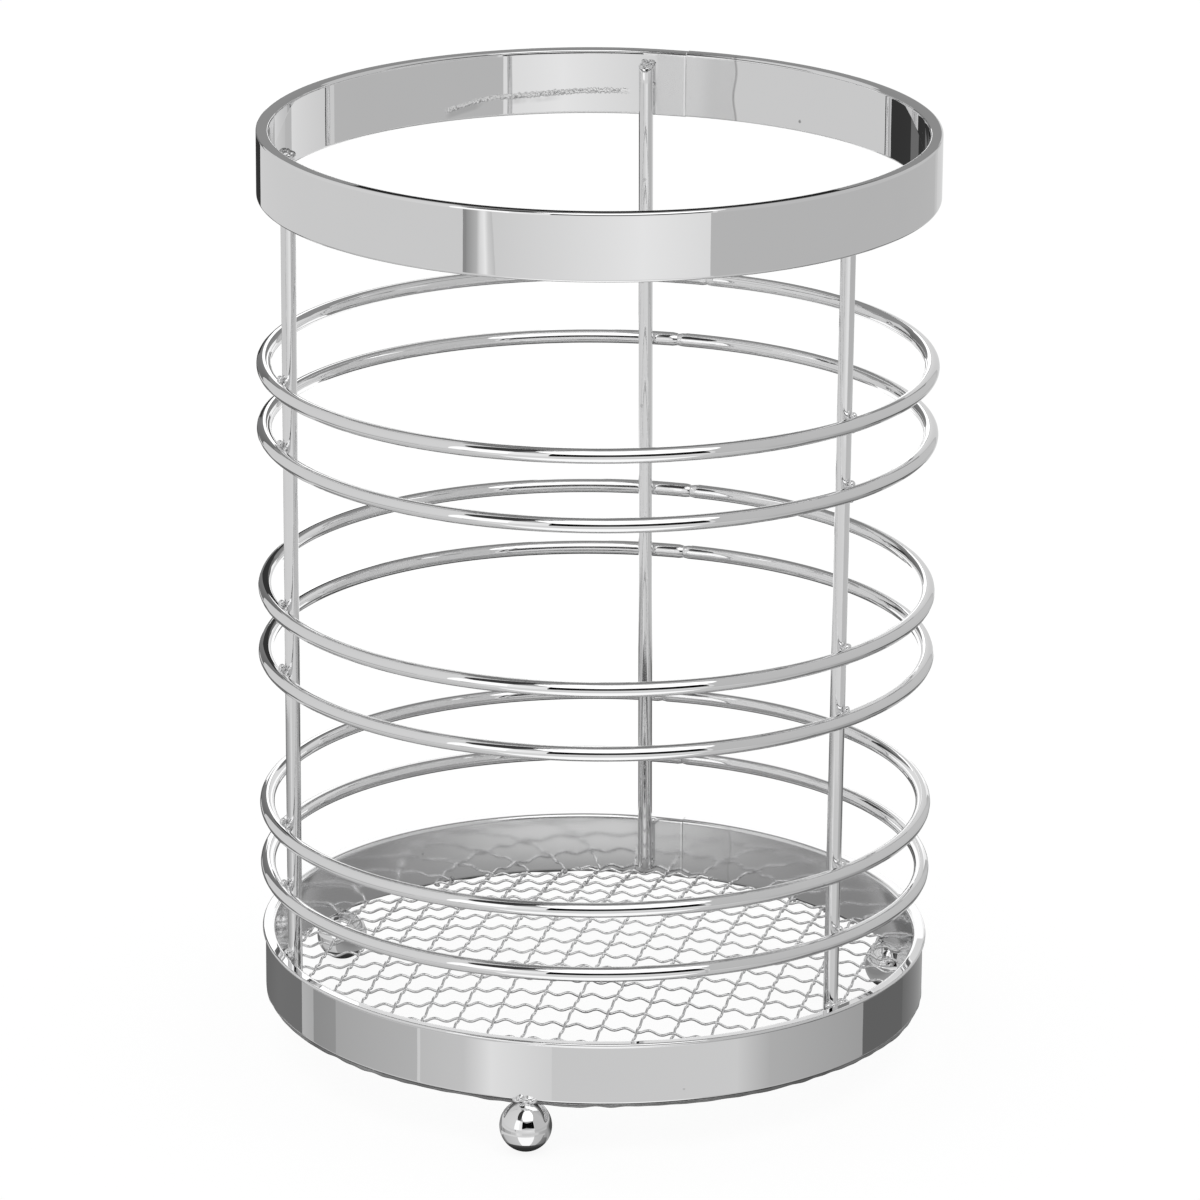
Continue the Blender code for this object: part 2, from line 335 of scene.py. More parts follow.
def round_wire(tree, curve, radius, sides, thickness=None):
    """A wire of round section along a curve, with closed ends, and thinner where its thickness says so."""
    circle = {"Resolution": sides, "Radius": radius}
    section = made(tree, "GeometryNodeCurvePrimitiveCircle", circle, mode="RADIUS")
    inputs = {"Curve": curve, "Profile Curve": section, "Fill Caps": True}
    body = add_node(tree, "GeometryNodeCurveToMesh", inputs)
    if thickness is not None and "Scale" in body.inputs:
        tree.links.new(thickness.socket, body.inputs["Scale"])
    return Value(body.outputs[0])


# Helpers for meshes

def link(piece):
    """Put an object in the scene."""
    bpy.context.scene.collection.objects.link(piece)
    return piece


def made_by(tree, name, values, start=None):
    """The plain mesh that a geometry tree makes with these values, as an object at the origin."""
    piece = link(bpy.data.objects.new(name, start or bpy.data.meshes.new(name + "_start")))
    shaping = piece.modifiers.new("shape", "NODES")
    shaping.node_group = tree
    for item in tree.interface.items_tree:
        if item.item_type == "SOCKET" and item.in_out == "INPUT" and item.name in values:
            shaping[item.identifier] = values[item.name]
    bpy.context.view_layer.update()
    evaluated = piece.evaluated_get(bpy.context.evaluated_depsgraph_get())
    mesh = bpy.data.meshes.new_from_object(evaluated)
    piece.modifiers.remove(shaping)
    piece.data = mesh
    face_outwards(mesh)
    return piece


def face_outwards(mesh):
    """Join doubled points, turn all faces outwards and shade them smooth."""
    work = bmesh.new()
    work.from_mesh(mesh)
    bmesh.ops.remove_doubles(work, verts=work.verts, dist=JOIN_DISTANCE)
    bmesh.ops.recalc_face_normals(work, faces=work.faces)
    work.to_mesh(mesh)
    work.free()
    mesh.shade_smooth()


def swept(name, sections, material, closed=False):
    """A body through a row of closed sections: a closed hoop, or with a cap and a sharp edge at each end."""
    count, around, _ = sections.shape
    faces = []
    for row in range(count if closed else count - 1):
        low = row * around
        high = (row + 1) % count * around
        for i in range(around):
            j = (i + 1) % around
            faces.append((low + i, low + j, high + j, high + i))
    if not closed:
        faces.append(tuple(range(around - 1, -1, -1)))
        faces.append(tuple((count - 1) * around + i for i in range(around)))
    mesh = bpy.data.meshes.new(name)
    mesh.from_pydata(sections.reshape(-1, 3).tolist(), [], faces)
    mesh.materials.append(material)
    face_outwards(mesh)
    if not closed:
        mesh.set_sharp_from_angle(angle=math.radians(CAP_ANGLE))
    return link(bpy.data.objects.new(name, mesh))


def keep(piece, slot, *nodes):
    """Ride a finished piece on the holder, in place of the nodes it stands for; the slot is not used."""
    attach(piece, BODY)
    if nodes:
        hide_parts(*nodes)


# Finishes

def hoop_group():
    """Where a point of a hoop is, and coordinates that vary fast across its section and slowly along it."""
    tree, given = open_tree(
        "around_the_hoop",
        {"Across": 1.0, "Along": 1.0},
        {"Lines": "Vector", "Radius": "Float", "Angle": "Float", "Height": "Float"},
    )
    place = made(tree, "ShaderNodeTexCoord", output="Object")
    x, y, z = (made(tree, "ShaderNodeSeparateXYZ", {0: place}, axis) for axis in "XYZ")
    radius = vector_of("LENGTH", made(tree, "ShaderNodeCombineXYZ", {"X": x, "Y": y}))
    angle = math_of("ARCTAN2", x, y)
    across = given["Across"]
    parts = {"X": radius * across, "Y": z * across, "Z": angle * given["Along"]}
    lines = made(tree, "ShaderNodeCombineXYZ", parts)
    add_node(tree, "NodeGroupOutput", {"Lines": lines, "Radius": radius, "Angle": angle, "Height": z})
    return tree


def band_wear_group(hoop):
    """What welding left on a band, with painted light on it: a dull patch by its joint, a painted highlight
    along the joint, a rough line inside with a painted highlight along it and a painted shadow below it, and
    a satin inner face.
    """
    tree, given = open_tree(
        "band_wear_and_sheen",
        {"Joint Angle": 0.27, "Patch Dulling": 0.2, "Inner Radius": 0.0558, "Inner Dulling": 0.0,
         "Line Height": 0.15465, "Line Strength": 0.0},
        {"Shade": "Float", "Roughness": "Float", "Height": "Float"},
    )
    where = add_node(tree, "ShaderNodeGroup", node_tree=hoop).outputs
    radius, angle, height = (Value(where[key]) for key in ("Radius", "Angle", "Height"))
    place = made(tree, "ShaderNodeTexCoord", output="Object")
    inside = ramp(radius - given["Inner Radius"], 0.1 * MM, -0.1 * MM)
    # The patch that was ground by the joint, its dark far edge, and a painted highlight along the joint
    # itself
    from_joint = angle - given["Joint Angle"]
    swayed = from_joint + math_of("SINE", height * 700.0) * 0.005
    patch = ramp(swayed, -0.105, -0.09) * ramp(swayed, 0.168, 0.162) * inside
    edge = ramp(abs(swayed - 0.165), 0.006, 0.002) * inside
    # A painted highlight: a bright line along the joint
    seam = ramp(abs(from_joint + 0.004), 0.0045, 0.002) * inside
    # The rough line that runs around inside: rough and bumpy, with a painted speckled highlight along its
    # top, painted shade along its bottom, and a painted soft shadow below it
    drop = ramp(angle, 0.0, -0.3, 0.0, 0.65 * MM) + ramp(angle, -0.33, -0.56, 0.0, 1.8 * MM)
    above = height - (given["Line Height"] - drop)
    grain = noise_of(place, 2400.0, 4.0)
    reach = ramp(angle, -0.52, -0.49) * ramp(angle, 0.1, 0.02) * inside * given["Line Strength"]
    line = ramp(grain * (-1.0 * MM) + abs(above), 0.0, -0.25 * MM) * reach
    below = ramp(abs(above + 0.7 * MM), 1.0 * MM, 0.3 * MM)
    painted_shadow_below = below * ramp(noise_of(place, 190.0, 2.0), 0.45, 0.6) * reach * ramp(angle, -0.1, -0.2)
    speckle_and_sheen = above * 500.0 + (grain - 0.46) * 3.0
    dulling = given["Patch Dulling"]
    # The shade sums the ground patch and its dark edge with the painted highlights and the painted shadow of
    # the line and the joint
    shade = (patch * -0.075 + edge * -0.25) * dulling * 5.0 + speckle_and_sheen * line + painted_shadow_below * -0.14 + seam * 0.13
    rough = patch * dulling + inside * given["Inner Dulling"] + line * 0.2
    add_node(tree, "NodeGroupOutput", {"Shade": shade, "Roughness": rough, "Height": grain * line * 9.0})
    return tree


def plating_group():
    """Bright plate over steel: soft cloudiness, a slow ripple, fine lines and a few pits."""
    tree, given = open_tree(
        "bright_plating",
        {"Lines": "Vector", **dict.fromkeys(PLATE_INPUTS, 0.0), "Wear And Sheen Shade": 0.0, "Wear And Sheen Roughness": 0.0,
         "Wear And Sheen Height": 0.0},
        {"Color": "Color", "Roughness": "Float", "Height": "Float"},
    )
    place = made(tree, "ShaderNodeTexCoord", output="Object")
    uneven = noise_of(place, 90.0, 3.0) - 0.5
    ripple = noise_of(place, 160.0, 1.0)
    lines = noise_of(given["Lines"], 1.0, 3.0)
    spots = {"Vector": place, "Scale": 260.0, "Randomness": 1.0}
    cells = add_node(tree, "ShaderNodeTexVoronoi", spots).outputs
    draw = made(tree, "ShaderNodeSeparateColor", {0: Value(cells["Color"])})
    dot = ramp(Value(cells["Distance"]), 0.05, 0.11, 1.0, 0.0, "LINEAR")
    pit = math_of("GREATER_THAN", draw, 0.93) * dot * given["Pits"]
    # The band's shade input adds its wear together with its painted highlights and painted shadow
    shade = uneven * given["Shade Change"] + given["Shade"] + pit * -0.45 + given["Wear And Sheen Shade"]
    rough = abs(uneven) * given["Roughness Change"] + given["Roughness"] + pit * 0.3 + given["Wear And Sheen Roughness"]
    height = ripple * given["Ripple"] + lines * given["Line Depth"] - pit + given["Wear And Sheen Height"]
    color = made(tree, "ShaderNodeCombineColor", {0: shade, 1: shade, 2: shade * 1.004})
    add_node(tree, "NodeGroupOutput", {"Color": color, "Roughness": rough, "Height": height})
    return tree


def finish_material(groups, name, plating, lines=PLAIN_LINES, wear_and_sheen=(), bump=0.02):
    """A plated finish, with its polishing or drawing lines along the hoop, or stretched along the axes."""
    material = bpy.data.materials.new(name)
    material.use_nodes = True
    tree = material.node_tree
    shader = tree.nodes["Principled BSDF"]
    shader.inputs["Metallic"].default_value = 1.0
    if len(lines) == 2:
        ways = {"Across": lines[0], "Along": lines[1]}
        grain = made(tree, "ShaderNodeGroup", ways, "Lines", node_tree=groups["hoop"])
    else:
        place = made(tree, "ShaderNodeTexCoord", output="Object")
        grain = made(tree, "ShaderNodeMapping", {"Vector": place, "Scale": lines})
    inputs = {"Lines": grain, **dict(zip(PLATE_INPUTS, plating))}
    if wear_and_sheen:
        marks = add_node(tree, "ShaderNodeGroup", wear_and_sheen, node_tree=groups["wear_and_sheen"]).outputs
        inputs.update({"Wear And Sheen " + key: Value(marks[key]) for key in ("Shade", "Roughness", "Height")})
    plate = add_node(tree, "ShaderNodeGroup", inputs, node_tree=groups["plate"]).outputs
    tree.links.new(plate["Color"], shader.inputs["Base Color"])
    tree.links.new(plate["Roughness"], shader.inputs["Roughness"])
    relief = {"Height": Value(plate["Height"]), "Strength": 1.0, "Distance": bump * MM}
    tree.links.new(add_node(tree, "ShaderNodeBump", relief).outputs[0], shader.inputs["Normal"])
    return material


def make_finishes():
    """Every piece's finish, by the kind of piece."""
    hoop = hoop_group()
    groups = {"hoop": hoop, "plate": plating_group(), "wear_and_sheen": band_wear_group(hoop)}
    upper_wear_and_sheen, lower_wear_and_sheen = ({"Joint Angle": math.radians(180 - seam)} for seam in BAND_SEAMS.values())
    upper_wear_and_sheen["Line Strength"] = 1.0
    lower_wear_and_sheen.update({"Patch Dulling": 0.05, "Inner Dulling": 0.11})
    finishes = {
        "upper_band": ("polished_upper_band", BAND_PLATE, BAND_LINES, upper_wear_and_sheen),
        "lower_band": ("polished_lower_band", BAND_PLATE, BAND_LINES, lower_wear_and_sheen),
        "ring": ("bright_ring_wire", RING_PLATE, RING_LINES),
        "upright": ("bright_upright_wire", UPRIGHT_PLATE, UPRIGHT_LINES),
        "foot": ("polished_ball", BALL_PLATE),
        "weld": ("plated_weld", WELD_PLATE, PLAIN_LINES, (), 0.05),
        "burnt": ("burnt_weld", BURNT_PLATE, PLAIN_LINES, (), 0.06),
        "knot": ("plated_knot", KNOT_PLATE, PLAIN_LINES, (), 0.04),
        "mesh": ("plated_mesh_wire", MESH_PLATE),
    }
    return {kind: finish_material(groups, *finish) for kind, finish in finishes.items()}


# Bands

def band_section(height, lip):
    """The strip's rounded section, as (outwards, up) from its middle, with a lip that juts out at its top."""
    half_wide = BAND_THICKNESS / 2
    half_high = height / 2
    points = []
    for side_x, side_z, start in ((1, 1, 90), (1, -1, 0), (-1, -1, -90), (-1, 1, -180)):
        under_lip = lip and side_x > 0 and side_z > 0
        if side_x > 0:
            radius = BAND_FOOT_EDGE if lip else BAND_OUTER_EDGE
        else:
            radius = BAND_INNER_EDGE if side_z > 0 else BAND_FOOT_EDGE
        centre_x = side_x * (half_wide - radius) - (lip if side_x > 0 > side_z else 0.0)
        centre_z = side_z * (half_high - radius)
        arc = []
        for step in range(7):
            angle = math.radians(start - 15 * step)
            arc.append((centre_x + radius * math.cos(angle), centre_z + radius * math.sin(angle)))
        hold = LIP_HOLD if under_lip else FACE_HOLD
        first, last = math.radians(start), math.radians(start - 90)
        before = (arc[0][0] - FACE_HOLD * math.sin(first), arc[0][1] + FACE_HOLD * math.cos(first))
        after = (arc[-1][0] + hold * math.sin(last), arc[-1][1] - hold * math.cos(last))
        points += [before] + arc + [after]
        if under_lip:
            for step in range(1, 9):
                share = step / 8
                ease = share * share * (3 - 2 * share)
                points.append((after[0] - lip * ease, after[1] - LIP_HEIGHT * share))
            points.append((after[0] - lip, points[-1][1] - hold))
    return np.array(points)


def sink_at(x):
    """How far the lower band hangs below its level place, at a distance to the right of the middle."""
    return (LOWER_BAND_SINK[0] + LOWER_BAND_SINK[1] * x / BAND_RADIUS) * MM


def make_band(node, material):
    """A strip rolled into a hoop, whose ends meet in a butt joint that gapes a little at its top."""
    low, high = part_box(node)
    height = high.z - low.z
    middle = (high.z + low.z) / 2
    mid_radius = high.x - BAND_THICKNESS / 2
    section = band_section(height, LOWER_BAND_LIP if node == "lower_band" else 0.0)
    up_share = section[:, 1] / height + 0.5
    gap = BAND_JOINT_TOP_GAP / mid_radius * up_share + BAND_JOINT_GAP / mid_radius
    sections = []
    for step in range(BAND_SEGMENTS + 1):
        share = step / BAND_SEGMENTS
        azimuth = math.radians(BAND_SEAMS[node]) + gap + (FULL_TURN - 2 * gap) * share
        near_end = math.exp(-(share * BAND_END_PACE) ** 2)
        wave = sum(size * math.sin(count * FULL_TURN * share + phase) for size, count, phase in BAND_WAVES)
        radius = mid_radius + section[:, 0] + BAND_END_STEP * near_end + wave
        x = radius * np.sin(azimuth)
        z = middle + section[:, 1] - BAND_END_DROP * near_end
        if node == "lower_band":
            z = z - sink_at(x)
        sections.append(np.stack([x, -radius * np.cos(azimuth), z], axis=-1))
    piece = swept(node + "_strip", np.array(sections), material)
    keep(piece, "band_chrome", node)


# Rings

def ring_tree():
    """A round wire bent into a hoop, whose ends are eased and all but touch."""
    tree, given = open_tree(
        "bent_ring",
        {"Ring Radius": 0.05, "Wire Radius": 0.001, "Height": 0.0, "Lean": "Vector", "Joint Angle": 0.0,
         "Joint Gap": 0.0001, "Wobble": 0.0001, "Phase": 0.0, "Material": "Material"},
    )
    gap = given["Joint Gap"] / given["Ring Radius"]
    bend = {
        "Resolution": RING_SEGMENTS,
        "Radius": given["Ring Radius"],
        "Start Angle": gap * 0.5 + given["Joint Angle"],
        "Sweep Angle": math_of("SUBTRACT", FULL_TURN, gap),
    }
    arc = made(tree, "GeometryNodeCurveArc", bend, mode="RADIUS")
    share = made(tree, "GeometryNodeSplineParameter", output="Factor")
    outward = vector_of("NORMALIZE", made(tree, "GeometryNodeInputPosition"))
    swing = math_of("SINE", share * (2 * FULL_TURN) + given["Phase"]) * given["Wobble"]
    swing_up = math_of("COSINE", share * (3 * FULL_TURN) + given["Phase"]) * given["Wobble"]
    height = swing_up + vector_of("DOT_PRODUCT", outward, given["Lean"]) + given["Height"]
    lifted = made(tree, "ShaderNodeCombineXYZ", {"Z": height})
    offset = vector_of("ADD", vector_of("SCALE", outward, scale=swing), lifted)
    moved = made(tree, "GeometryNodeSetPosition", {"Geometry": arc, "Offset": offset})
    ease = ramp(math_of("MINIMUM", share, math_of("SUBTRACT", 1.0, share)), 0.0, 0.0014, 0.88, 1.0)
    sized = made(tree, "GeometryNodeSetCurveRadius", {"Curve": moved, "Radius": ease})
    return close_tree(tree, given, round_wire(tree, sized, given["Wire Radius"], RING_SIDES, ease))


def ring_height(number, azimuth):
    """Height of a ring's middle line at an azimuth."""
    low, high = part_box(f"ring_{number}")
    up, right, rear = RING_SHIFTS[number]
    x, y = direction(azimuth)
    return (low.z + high.z) / 2 + (up + right * x + rear * y) * MM


def make_rings(material):
    """The six rings, each with its own joint, shift and lean."""
    tree = ring_tree()
    for number, seam in RING_SEAMS.items():
        node = f"ring_{number}"
        low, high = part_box(node)
        up, right, rear = RING_SHIFTS[number]
        values = {
            "Ring Radius": high.x - RING_WIRE_RADIUS,
            "Wire Radius": RING_WIRE_RADIUS,
            "Height": (low.z + high.z) / 2 + up * MM,
            "Lean": (right * MM, rear * MM, 0.0),
            "Joint Angle": math.radians(seam - 90),
            "Joint Gap": RING_JOINT_GAP,
            "Wobble": RING_WOBBLE,
            "Phase": 1.3 * number,
            "Material": material,
        }
        keep(made_by(tree, f"ring_wire_{number}", values), "ring_chrome", node)


# Uprights

def upright_at(side, z):
    """Radius and azimuth of an upright's middle at a height."""
    low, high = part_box(f"upright_{side}")
    centre = (low + high) / 2
    share = (z - low.z) / (high.z - low.z)
    foot, top = UPRIGHT_LEANS[side]
    radius = Vector((centre.x, centre.y)).length + (foot[0] + (top[0] - foot[0]) * share) * MM
    azimuth = math.degrees(math.atan2(centre.x, -centre.y)) + foot[1] + (top[1] - foot[1]) * share
    return radius, azimuth


def make_burr(tree, material):
    """The burr left on the left upright's cut end."""
    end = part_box("upright_left")[1].z
    radius, azimuth = upright_at("left", end)
    places = []
    for rise, out, aside in BURR_BEADS:
        x, y = plan_place(radius + out * MM, azimuth, aside * MM)
        places.append(((x, y, end + 0.9 * MM + rise * MM), (0.0, 0.0, 1.3 * aside), (1.0, 1.0, 0.9)))
    keep(lumps(tree, "upright_burr_left", places, BURR_LUMP, material), "upright_chrome")


def make_upright(side, material):
    """A straight wire, a little out of plumb, with a sheared, slightly pinched top end and a rounded foot."""
    node = f"upright_{side}"
    low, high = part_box(node)
    wire_radius = (high.x - low.x) / 2
    length = high.z - low.z + (LEFT_UPRIGHT_EXTRA if side == "left" else 0.0)
    foot_end = UPRIGHT_FOOT[-1][0] * MM
    rows = [(rise * MM, share) for rise, share in UPRIGHT_FOOT]
    rows += [(foot_end + (length - UPRIGHT_ENDS) * i / UPRIGHT_ROWS, 1.0) for i in range(1, UPRIGHT_ROWS + 1)]
    rows += [(length - from_top * MM, share) for from_top, share in UPRIGHT_TOP]
    shake = random.Random(len(side)).uniform
    jag = [shake(-0.12, 0.12) for _ in range(UPRIGHT_SIDES)]
    sections = []
    for rise, share in rows:
        section = []
        reach, azimuth = upright_at(side, low.z + rise)
        pinch = max(0.0, 1 - (length - rise) / PINCH_LENGTH)
        for i in range(UPRIGHT_SIDES):
            angle = FULL_TURN * i / UPRIGHT_SIDES
            out = wire_radius * share * math.cos(angle) * (1 - 0.1 * pinch)
            aside = wire_radius * share * math.sin(angle) * (1 + 0.04 * pinch)
            lift = pinch * MM * (0.1 * math.cos(angle) + 0.3 * jag[i]) - 0.2 * MM * pinch
            section.append((*plan_place(reach + out, azimuth, aside), low.z + rise + lift))
        sections.append(section)
    keep(swept(f"upright_wire_{side}", np.array(sections), material), "upright_chrome", node)


# Welds

def nugget_tree():
    """Small lumps of weld metal at marked places, each turned and sized a little differently."""
    tree, given = open_tree(
        "weld_lumps",
        {"Geometry": "Geometry", "Lump Radius": 0.0006, "Roughness": 0.0002, "Seed": 1,
         "Material": "Material"},
    )
    lump = made(tree, "GeometryNodeMeshIcoSphere", {"Radius": 1.0, "Subdivisions": 4})
    spread = {"Min": (0.8, 0.8, 0.75), "Max": (1.2, 1.2, 1.15), "Seed": given["Seed"]}
    draw = made(tree, "FunctionNodeRandomValue", spread, "Value", data_type="FLOAT_VECTOR")
    size, turn = (
        made(tree, "GeometryNodeInputNamedAttribute", {"Name": key}, "Attribute", data_type="FLOAT_VECTOR")
        for key in ("size", "turn")
    )
    scale = vector_of("SCALE", vector_of("MULTIPLY", draw, size), scale=given["Lump Radius"])
    marks = {"Points": given["Geometry"], "Instance": lump, "Rotation": turn, "Scale": scale}
    placed = made(tree, "GeometryNodeInstanceOnPoints", marks)
    real = made(tree, "GeometryNodeRealizeInstances", {"Geometry": placed})
    shift = shake_of(made(tree, "GeometryNodeInputPosition"), 1400.0, 2.0, given["Roughness"])
    return close_tree(tree, given, made(tree, "GeometryNodeSetPosition", {"Geometry": real, "Offset": shift}))


def lumps(tree, name, places, lump, material):
    """One piece from many lumps; each place is (position, turn, size)."""
    marks = bpy.data.meshes.new(name + "_marks")
    marks.from_pydata([place[0] for place in places], [], [])
    for key, index in (("turn", 1), ("size", 2)):
        attribute = marks.attributes.new(key, "FLOAT_VECTOR", "POINT")
        attribute.data.foreach_set("vector", [value for place in places for value in place[index]])
    radius, seed = lump
    values = {"Lump Radius": radius, "Roughness": 0.25 * radius, "Seed": seed, "Material": material}
    return made_by(tree, name, values, marks)


def make_ring_welds(tree, material, shake):
    """Nuggets where each ring crosses each upright, above and below the wire and between the two."""
    places = []
    for number in RING_SEAMS:
        low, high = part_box(f"ring_{number}")
        contact = high.x - 2 * RING_WIRE_RADIUS
        for side in UPRIGHT_LEANS:
            _, azimuth = upright_at(side, (low.z + high.z) / 2)
            ring_z = ring_height(number, azimuth)
            for rise, wide, out, tall in RING_NUGGETS:
                x, y = plan_place(contact + out * MM, azimuth + shake(-0.25, 0.25))
                z = ring_z + rise * MM + shake(-0.08, 0.08) * MM
                places.append(((x, y, z), (0.0, 0.0, math.radians(azimuth)), (wide * 1.1, 0.95, tall)))
    keep(lumps(tree, "ring_welds", places, RING_LUMP, material), "upright_chrome")


def make_band_welds(tree, material, shake):
    """Beads between uprights and bands, on the lower band's top edge, and on the uprights' cut ends."""
    places = []
    for side in UPRIGHT_LEANS:
        for node, heights in BAND_BEADS:
            low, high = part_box(node)
            radius, azimuth = upright_at(side, (low.z + high.z) / 2)
            for share in heights:
                for aside in (-1.15, 1.15):
                    x, y = plan_place(radius + 1.0 * MM, azimuth + aside + shake(-0.1, 0.1))
                    z = low.z + share * (high.z - low.z) + shake(-0.3, 0.3) * MM
                    places.append(((x, y, z), (0.0, 0.0, math.radians(azimuth)), (0.55, 0.7, 1.3)))
        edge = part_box("lower_band")[1].z
        radius, azimuth = upright_at(side, edge)
        for rise, out, aside in EDGE_BEADS:
            x, y = plan_place(radius + out * MM, azimuth, aside * MM)
            z = edge + rise * MM - sink_at((radius + out * MM) * direction(azimuth)[0])
            places.append(((x, y, z), (0.0, 0.0, math.radians(azimuth)), (1.5, 1.3, 1.3)))
        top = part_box(f"upright_{side}")[1].z + (1.3 * MM if side == "left" else -0.2 * MM)
        radius, azimuth = upright_at(side, top)
        for bead in range(6):
            x, y = plan_place(radius + 0.6 * math.cos(bead) * MM, azimuth, 0.75 * math.sin(2 * bead) * MM)
            places.append(((x, y, top), (0.0, 0.0, 1.1 * bead), (0.9, 0.9, 0.6)))
    keep(lumps(tree, "band_welds", places, BAND_LUMP, material), "upright_chrome")


# Floor

def crimped_wires_tree():
    """One family of the floor's wires, crimped over and under its neighbours and domed, cut to a disc."""
    tree, given = open_tree(
        "crimped_wires",
        {"Wires": 18, "First": -9, "Middle": "Vector", "Across": "Vector", "Along": "Vector", "Turn": 0.0,
         "Rim Height": 0.009, "Dome Rise": 0.005, "Dome Radius": 0.055, "Edge Radius": 0.057, "Crimp": 0.0003,
         "Wire Radius": 0.0003, "Unevenness": 0.0002, "Material": "Material"},
    )
    dots = made(tree, "GeometryNodePoints", {"Count": given["Wires"]})
    line = made(tree, "GeometryNodeCurvePrimitiveLine", {"Start": (0, 0, 0), "End": (1, 0, 0)})
    fine = made(tree, "GeometryNodeResampleCurve", {"Curve": line, "Count": MESH_WIRE_POINTS})
    rows = made(tree, "GeometryNodeInstanceOnPoints", {"Points": dots, "Instance": fine})
    marking = {"Geometry": rows, "Name": "wire", "Value": made(tree, "GeometryNodeInputIndex")}
    numbered = made(tree, "GeometryNodeStoreNamedAttribute", marking, data_type="FLOAT", domain="INSTANCE")
    real = made(tree, "GeometryNodeRealizeInstances", {"Geometry": numbered})
    wire = made(tree, "GeometryNodeInputNamedAttribute", {"Name": "wire"}, "Attribute", data_type="FLOAT")
    # Where the wire's straight line crosses the floor's edge, in steps along it
    number = wire + given["First"]
    along = given["Along"]
    start = vector_of("ADD", given["Middle"], vector_of("SCALE", given["Across"], scale=number))
    square = vector_of("DOT_PRODUCT", along, along)
    lean = vector_of("DOT_PRODUCT", start, along)
    spare = vector_of("DOT_PRODUCT", start, start) - given["Edge Radius"] ** 2.0
    root = math_of("SQRT", math_of("MAXIMUM", lean ** 2.0 - square * spare, 0.0))
    share = made(tree, "GeometryNodeSplineParameter", output="Factor")
    step = share * (root * 2.0 / square) + (lean * -1.0 - root) / square
    flat = vector_of("ADD", start, vector_of("SCALE", along, scale=step))
    # The dome, and the crimp, which is pressed flat under the band
    radius = vector_of("LENGTH", flat)
    dome = math_of("MAXIMUM", math_of("SUBTRACT", 1.0, (radius / given["Dome Radius"]) ** 2.0), 0.0)
    wave = math_of("COSINE", (step * 3.0 + (number + given["Turn"])) * math.pi)
    pressed = ramp(radius - given["Dome Radius"], -1.2 * MM, 0.2 * MM, 1.0, 0.25)
    height = dome * given["Dome Rise"] + given["Rim Height"] + wave * given["Crimp"] * pressed
    risen = vector_of("ADD", flat, made(tree, "ShaderNodeCombineXYZ", {"Z": height}))
    shift = shake_of(flat, 55.0, 1.0, given["Unevenness"])
    shaped = made(tree, "GeometryNodeSetPosition", {"Geometry": real, "Position": risen, "Offset": shift})
    even = made(tree, "GeometryNodeResampleCurve", {"Curve": shaped, "Length": MESH_WIRE_STEP}, mode="LENGTH")
    return close_tree(tree, given, round_wire(tree, even, given["Wire Radius"], MESH_WIRE_SIDES))


def make_floor(material):
    """The floor's wires, one piece for each family."""
    tree = crimped_wires_tree()
    shared = {
        "First": FIRST_WIRE,
        "Middle": MESH_MIDDLE,
        "Rim Height": MESH_RIM_Z,
        "Dome Rise": MESH_DOME_RISE,
        "Dome Radius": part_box("lower_band")[1].x - BAND_THICKNESS,
        "Edge Radius": MESH_EDGE_RADIUS,
        "Wire Radius": MESH_WIRE_RADIUS,
        "Unevenness": MESH_UNEVENNESS,
        "Material": material,
    }
    families = {
        "weft": {"Wires": WEFTS, "Across": WEFT_STEP, "Along": WARP_STEP, "Turn": 0.0, "Crimp": WEFT_CRIMP},
        "warp": {"Wires": WARPS, "Across": WARP_STEP, "Along": WEFT_STEP, "Turn": 1.0, "Crimp": WARP_CRIMP},
    }
    for family, values in families.items():
        nodes = [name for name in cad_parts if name.startswith(f"floor_{family}_")]
        keep(made_by(tree, f"floor_{family}_wires", {**shared, **values}), "floor_mesh", *nodes)


def make_knots(tree, material):
    """A knot of weld metal where each wire of the floor ends against the band."""
    shake = random.Random(21).uniform
    band_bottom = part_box("lower_band")[0].z
    places = []
    for wires, across, along in ((WEFTS, WEFT_STEP, WARP_STEP), (WARPS, WARP_STEP, WEFT_STEP)):
        along = Vector(along)
        for number in range(FIRST_WIRE, wires + FIRST_WIRE):
            start = Vector(MESH_MIDDLE) + number * Vector(across)
            lean = start.dot(along)
            square = along.dot(along)
            spare = lean * lean - square * (start.dot(start) - KNOT_RING_RADIUS ** 2)
            for sign in (-1, 1):
                end = start + along * ((sign * math.sqrt(max(spare, 0.0)) - lean) / square)
                rise = shake(-0.3, 0.6) * MM
                turn = (shake(-0.5, 0.5), shake(-0.5, 0.5), shake(0.0, math.pi))
                size = (shake(0.5, 1.5), shake(0.4, 0.8), shake(0.3, 0.8))
                places.append(((end.x, end.y, band_bottom + rise - sink_at(end.x)), turn, size))
    keep(lumps(tree, "floor_end_knots", places, KNOT_LUMP, material), "floor_mesh")


